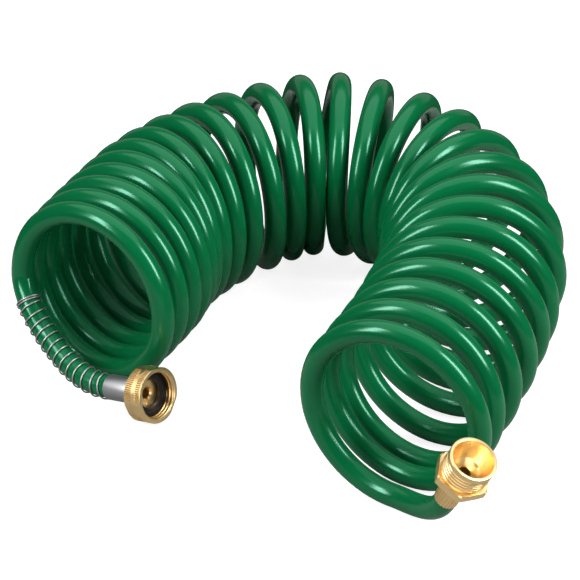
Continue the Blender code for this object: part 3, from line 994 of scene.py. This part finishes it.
# %% Outlet ferrule
OUTLET_FERRULE_OD = 0.0134
OUTLET_FERRULE_LENGTH = 0.0205
FLUTE_DEPTH = 0.00030
FLUTE_COUNT = 24
FLUTE_WIDTH = 0.00135
FLUTE_CREST = 0.8
FLUTE_START = 0.0002
NO_FLATS = -1.0

flute_root = OUTLET_FERRULE_OD / 2 - FLUTE_DEPTH
outlet_sleeve = turned("outlet_sleeve", [
    (BARB_OD / 2, 0.0), (flute_root - 0.0001, 0.0), (flute_root, 0.0001),
    (flute_root, OUTLET_FERRULE_LENGTH), (BARB_OD / 2, OUTLET_FERRULE_LENGTH)], outlet_frame, brass)
dress(outlet_sleeve, "hose", "brass", "outlet_ferrule")
flutes = grow(
    "outlet_flutes", rib_ring, brass, outlet_frame, Count=FLUTE_COUNT,
    Radius=flute_root - RIB_SINK, Depth=FLUTE_DEPTH + RIB_SINK, Width=FLUTE_WIDTH,
    Crest=FLUTE_CREST, Start=FLUTE_START, Length=OUTLET_FERRULE_LENGTH - FLUTE_START,
    Flats=1.0, First_flat=0.0, Half_flat=NO_FLATS)
dress(flutes, "hose", "brass")

# %% [markdown]
# ## The outlet fitting
#
# The male fitting is one piece of brass: a hexagon for the wrench, a short neck, the thread, a
# plain rim and a wide cup that narrows to the water hole. The hexagon is the round cut back to
# six flats, with its corners turned off by a chamfer, as a lathe leaves them.

# %% Outlet fitting
FITTING_BORE = 0.0068
HEX_FLATS = 0.0275
HEX_THICKNESS = 0.0052
HEX_TURN = 25
HEX_CORNER = 0.0314
HEX_CHAMFER = 0.0005
NECK_OD = 0.0240
NECK_LENGTH = 0.0015
THREAD_ROOT = 0.0244
THREAD_RIDGE = 0.00088
THREAD_LENGTH = 0.0092
RIM_OD = 0.0262
RIM_LENGTH = 0.0037
CUP_MOUTH_BORE = 0.0224
CUP_BORE = 0.0206
CUP_FLOOR = 0.0154
CUP_DEPTH = 0.0100
FUNNEL_DEPTH = 0.0035
HEX_SIDES = 144
MALE_THREAD_START = 0.0006
MALE_THREAD_TURNS = 3.7
MALE_THREAD_RUN_OUT = 0.05


def hexagon(radius, angle):
    """A hexagon's reach at an angle, no further than the round that its corners are turned to."""
    aside = (angle + math.pi / 6) % (math.pi / 3) - math.pi / 6
    return min(radius, HEX_FLATS / 2 / math.cos(aside))


hex_start = OUTLET_FERRULE_LENGTH + FACE_GAP
hex_end = hex_start + HEX_THICKNESS
thread_start = hex_end + NECK_LENGTH
rim_start = thread_start + THREAD_LENGTH
mouth = rim_start + RIM_LENGTH
corner = HEX_CORNER / 2
rim_r = RIM_OD / 2
hexagon_frame = outlet_frame @ Matrix.Rotation(math.radians(HEX_TURN), 4, "Z")
fitting = turned("outlet_male_fitting", [
    (FITTING_BORE / 2, hex_start - BARB_LENGTH), (BARB_OD / 2 - BARB_GAP, hex_start - BARB_LENGTH),
    (BARB_OD / 2 - BARB_GAP, hex_start), (corner - 2 * HEX_CHAMFER, hex_start, hexagon),
    (corner, hex_start + HEX_CHAMFER, hexagon), (corner, hex_end - HEX_CHAMFER, hexagon),
    (corner - 2 * HEX_CHAMFER, hex_end, hexagon), (NECK_OD / 2 + EDGE, hex_end),
    (NECK_OD / 2, hex_end + EDGE), (NECK_OD / 2, thread_start - 0.0003),
    (THREAD_ROOT / 2, thread_start), (THREAD_ROOT / 2, rim_start), (rim_r, rim_start + 0.0003),
    (rim_r, mouth - 0.0005), (rim_r - EDGE, mouth - 0.0001), (rim_r - 0.0005, mouth),
    (CUP_MOUTH_BORE / 2 + 0.0005, mouth), (CUP_MOUTH_BORE / 2 + 0.0001, mouth - EDGE),
    (CUP_MOUTH_BORE / 2, mouth - 0.0006), (CUP_BORE / 2, mouth - CUP_DEPTH / 2),
    (CUP_FLOOR / 2, mouth - CUP_DEPTH - 0.0004),
    (CUP_FLOOR / 2 - 0.0005, mouth - CUP_DEPTH - 0.0009),
    (FITTING_BORE / 2 + 0.0006, mouth - CUP_DEPTH - FUNNEL_DEPTH + 0.0004),
    (FITTING_BORE / 2, mouth - CUP_DEPTH - FUNNEL_DEPTH - 0.0004)],
    hexagon_frame, brass, sides=HEX_SIDES, sharp=25.0)
dress(fitting, "hose", "brass", "outlet_fitting")
male_thread = grow(
    "outlet_thread", thread_ridge, brass, outlet_frame, smooth_shade=True,
    Radius=THREAD_ROOT / 2, Start=thread_start + MALE_THREAD_START, Pitch=THREAD_PITCH,
    Turns=MALE_THREAD_TURNS, Half_height=THREAD_RIDGE, Run_out=MALE_THREAD_RUN_OUT)
dress(male_thread, "hose", "brass")

# %% [markdown]
# ## The studio
#
# The hose was photographed on white, under large soft lights. The floor stands in for a sheet of
# white paper. It glows to the camera alone, so that it renders white whatever falls on it. Its
# colour has three values: one for the camera, one for the light that it throws back, and a
# darker one for what is mirrored. Past a short way from the hose it is almost black.

# %% Floor and world
FLOOR_HALF = 6.0
PAPER_SEEN = (0.40, 0.40, 0.40)
PAPER_BOUNCE = (0.50, 0.50, 0.50)
PAPER_MIRRORED = (0.32, 0.32, 0.32)
PAPER_FAR = (0.02, 0.02, 0.02)
PAPER_GLOW = 0.85
PAPER_REACH = 0.36
PAPER_ROUGHNESS = 0.9
WORLD_FILL = 0.03

floor_mesh = bpy.data.meshes.new("floor")
floor_mesh.from_pydata(
    [(-FLOOR_HALF, -FLOOR_HALF, 0.0), (FLOOR_HALF, -FLOOR_HALF, 0.0),
     (FLOOR_HALF, FLOOR_HALF, 0.0), (-FLOOR_HALF, FLOOR_HALF, 0.0)], [], [(0, 1, 2, 3)])
floor = bpy.data.objects.new("floor", floor_mesh)
bpy.context.collection.objects.link(floor)
paper = bpy.data.materials.new("white_paper")
paper.use_nodes = True
paper_shader = paper.node_tree.nodes["Principled BSDF"]
paper_shader.inputs["Roughness"].default_value = PAPER_ROUGHNESS
paper_shader.inputs["Specular IOR Level"].default_value = 0.0
paper_shader.inputs["Emission Color"].default_value = (1.0, 1.0, 1.0, 1.0)
paper_tree = paper.node_tree
paper_rays = paper_tree.nodes.new("ShaderNodeLightPath")
# Far from the hose the sheet ends, and only a dark room is mirrored in the hose's flanks
paper_place = paper_tree.nodes.new("ShaderNodeTexCoord")
paper_span = paper_tree.nodes.new("ShaderNodeVectorMath")
paper_span.operation = "LENGTH"
paper_tree.links.new(paper_place.outputs["Object"], paper_span.inputs[0])
paper_near = compute(paper_tree, "LESS_THAN", paper_span.outputs["Value"], PAPER_REACH)


def paper_mix(factor, first, second):
    """A mix of two colours, each a link or a value; returns its output."""
    mix = paper_tree.nodes.new("ShaderNodeMix")
    mix.data_type = "RGBA"
    paper_tree.links.new(factor, mix.inputs["Factor"])
    for label, value in (("A", first), ("B", second)):
        if isinstance(value, tuple):
            mix.inputs[label].default_value = (*value, 1.0)
        else:
            paper_tree.links.new(value, mix.inputs[label])
    return mix.outputs["Result"]


paper_lit = paper_mix(paper_rays.outputs["Is Glossy Ray"], PAPER_BOUNCE, PAPER_MIRRORED)
paper_around = paper_mix(paper_near, PAPER_FAR, paper_lit)
paper_tone = paper_mix(paper_rays.outputs["Is Camera Ray"], paper_around, PAPER_SEEN)
paper_tree.links.new(paper_tone, paper_shader.inputs["Base Color"])
paper_glow = compute(paper_tree, "MULTIPLY", paper_rays.outputs["Is Camera Ray"], PAPER_GLOW)
paper_tree.links.new(paper_glow, paper_shader.inputs["Emission Strength"])
floor_mesh.materials.append(paper)

world = bpy.data.worlds.new("studio")
bpy.context.scene.world = world
world.use_nodes = True
backdrop = world.node_tree.nodes["Background"]
backdrop.inputs["Color"].default_value = (1.0, 1.0, 1.0, 1.0)
backdrop.inputs["Strength"].default_value = WORLD_FILL
bpy.context.scene.view_settings.view_transform = "Standard"

# %% [markdown]
# ## The lights
#
# All lights are rectangles that face the hose. A large one overhead gives each turn its broad
# pale back, and two narrow ones at the sides give it bright streaks. Metal shows only what is
# around it, so it gets pale screens of its own, which light linking keeps off the hose.

# %% Lights
LIGHT_AIM = Vector((0.0, 0.0, 0.05))


def soft_light(name, place, width, height, power):
    """A rectangular soft light that faces the hose."""
    data = bpy.data.lights.new(name, "AREA")
    data.shape = "RECTANGLE"
    data.size = width
    data.size_y = height
    data.energy = power
    light = bpy.data.objects.new(name, data)
    bpy.context.collection.objects.link(light)
    light.location = Vector(place)
    light.rotation_mode = "QUATERNION"
    light.rotation_quaternion = (LIGHT_AIM - Vector(place)).to_track_quat("-Z", "Y")
    return light


soft_light("overhead", (0.0, 0.3, 1.8), 3.0, 2.4, 27.0)
soft_light("left_key", (-1.4, -0.9, 1.05), 0.45, 1.2, 32.0)
soft_light("right_key", (1.4, -0.8, 1.05), 0.55, 1.2, 42.0)
soft_light("back_glow", (0.0, 2.2, 0.5), 4.0, 1.0, 3.0)

metal = bpy.data.collections.new("metal_pieces")
for piece in (
        guard, inlet_sleeve, swivel, nut_thread, tail, outlet_sleeve, flutes, fitting, male_thread):
    metal.objects.link(piece)
for name, place, width, height, power in (
        ("front_screen", (0.0, -1.8, 0.5), 2.4, 0.9, 15.0),
        ("left_screen", (-1.8, 0.2, 0.8), 1.6, 1.2, 9.0),
        ("right_screen", (1.8, 0.0, 0.8), 1.6, 1.2, 4.5)):
    soft_light(name, place, width, height, power).light_linking.receiver_collection = metal
print("lights:", [light.name for light in bpy.data.lights])
